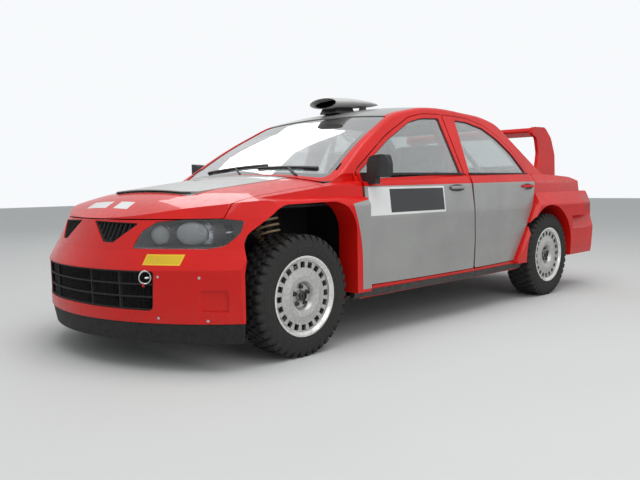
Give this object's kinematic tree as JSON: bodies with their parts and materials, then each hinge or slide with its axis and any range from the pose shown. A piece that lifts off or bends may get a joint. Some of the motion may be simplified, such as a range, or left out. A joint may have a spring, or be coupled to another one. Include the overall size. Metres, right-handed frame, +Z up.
{
  "type": "four door rally car",
  "caption": "Four door rally car with hinged doors, bonnet and boot lid, steered front wheels, free rolling wheels, roll cage and rear wing.",
  "frame": {"origin": "on the ground below the middle of the overall box", "axes": "-Y towards the front of the car, +X towards its left side, +Z up"},
  "size_m": [1.8914, 4.2999, 1.488],
  "materials": {
    "door_silver": "metallic silver paint, gloss",
    "body_red": "red paint, gloss",
    "black_trim": "black moulded plastic",
    "lamp_lens": "clear moulded lens",
    "lamp_bowl": "bright reflector",
    "clear_glass": "lightly tinted glass",
    "tail_lens": "red moulded lens",
    "seat_fabric": "black woven fabric",
    "cabin_plastic": "dark cabin plastic",
    "cage_paint": "white painted tube",
    "underbody": "black underbody paint",
    "engine_metal": "cast engine block",
    "exhaust_steel": "exhaust steel",
    "rim_silver": "silver wheel paint, bright lip",
    "tyre_rubber": "dusty black rubber"
  },
  "bodies": {
    "body": {"roof_frame": "body_red", "front_frame": "body_red", "body_sides": "body_red", "boot_frame": "body_red", "floor_pan": "underbody", "front_fenders": "body_red", "nose_panel": "body_red", "front_bumper": "body_red", "front_splitter": "black_trim", "grille": "black_trim", "headlamps": "lamp_lens", "lamp_bowls": "lamp_bowl", "windscreen": "clear_glass", "rear_window": "clear_glass", "roof_vent": "black_trim", "rear_bumper": "body_red", "tail_lamps": "tail_lens", "side_skirts": "black_trim", "exhaust": "exhaust_steel", "wipers": "black_trim", "roll_cage": "cage_paint", "seats": "seat_fabric", "dashboard": "cabin_plastic", "engine_block": "engine_metal", "front_suspension": "underbody", "rear_suspension": "underbody"},
    "bonnet": {"bonnet": "body_red"},
    "boot_lid": {"boot_lid": "body_red", "rear_wing": "body_red"},
    "door_front_left": {"door_front_left": "door_silver", "glass_front_left": "clear_glass", "mirror_left": "black_trim"},
    "door_front_right": {"door_front_right": "door_silver", "glass_front_right": "clear_glass", "mirror_right": "black_trim"},
    "door_rear_left": {"door_rear_left": "door_silver", "glass_rear_left": "clear_glass"},
    "door_rear_right": {"door_rear_right": "door_silver", "glass_rear_right": "clear_glass"},
    "knuckle_left": {"knuckle_left": "underbody"},
    "knuckle_right": {"knuckle_right": "underbody"},
    "wheel_front_left": {"rim_front_left": "rim_silver", "tyre_front_left": "tyre_rubber"},
    "wheel_front_right": {"rim_front_right": "rim_silver", "tyre_front_right": "tyre_rubber"},
    "wheel_rear_left": {"rim_rear_left": "rim_silver", "tyre_rear_left": "tyre_rubber"},
    "wheel_rear_right": {"rim_rear_right": "rim_silver", "tyre_rear_right": "tyre_rubber"}
  },
  "joints": [
    {"name": "bonnet_hinge", "type": "hinge", "parent": "body", "child": "bonnet", "pos_m": [0, -1.06, 0.905], "axis": [-1, 0, 0], "range_deg": [0, 50]},
    {"name": "boot_hinge", "type": "hinge", "parent": "body", "child": "boot_lid", "pos_m": [0, 1.474, 0.999], "axis": [1, 0, 0], "range_deg": [0, 45]},
    {"name": "door_front_left_hinge", "type": "hinge", "parent": "body", "child": "door_front_left", "pos_m": [0.834, -0.795, 0.3], "axis": [0, 0, -1], "range_deg": [0, 65]},
    {"name": "door_front_right_hinge", "type": "hinge", "parent": "body", "child": "door_front_right", "pos_m": [-0.834, -0.795, 0.3], "axis": [0, 0, 1], "range_deg": [0, 65]},
    {"name": "door_rear_left_hinge", "type": "hinge", "parent": "body", "child": "door_rear_left", "pos_m": [0.848, 0.297, 0.3], "axis": [0, 0, -1], "range_deg": [0, 65]},
    {"name": "door_rear_right_hinge", "type": "hinge", "parent": "body", "child": "door_rear_right", "pos_m": [-0.848, 0.297, 0.3], "axis": [0, 0, 1], "range_deg": [0, 65]},
    {"name": "steer_left", "type": "hinge", "parent": "body", "child": "knuckle_left", "pos_m": [0.69, -1.32, 0.205], "axis": [-0.2269, 0, 0.9739], "range_deg": [-33, 33]},
    {"name": "steer_right", "type": "hinge", "parent": "body", "child": "knuckle_right", "pos_m": [-0.69, -1.32, 0.205], "axis": [0.2269, 0, 0.9739], "range_deg": [-33, 33]},
    {"name": "spin_front_left", "type": "hinge", "parent": "knuckle_left", "child": "wheel_front_left", "pos_m": [0.7725, -1.32, 0.315], "axis": [1, 0, 0], "continuous": true},
    {"name": "spin_front_right", "type": "hinge", "parent": "knuckle_right", "child": "wheel_front_right", "pos_m": [-0.7725, -1.32, 0.315], "axis": [1, 0, 0], "continuous": true},
    {"name": "spin_rear_left", "type": "hinge", "parent": "body", "child": "wheel_rear_left", "pos_m": [0.7725, 1.28, 0.315], "axis": [1, 0, 0], "continuous": true},
    {"name": "spin_rear_right", "type": "hinge", "parent": "body", "child": "wheel_rear_right", "pos_m": [-0.7725, 1.28, 0.315], "axis": [1, 0, 0], "continuous": true}
  ],
  "couplings": [
    {"joint": "steer_right", "follows": "steer_left", "ratio": 1}
  ]
}
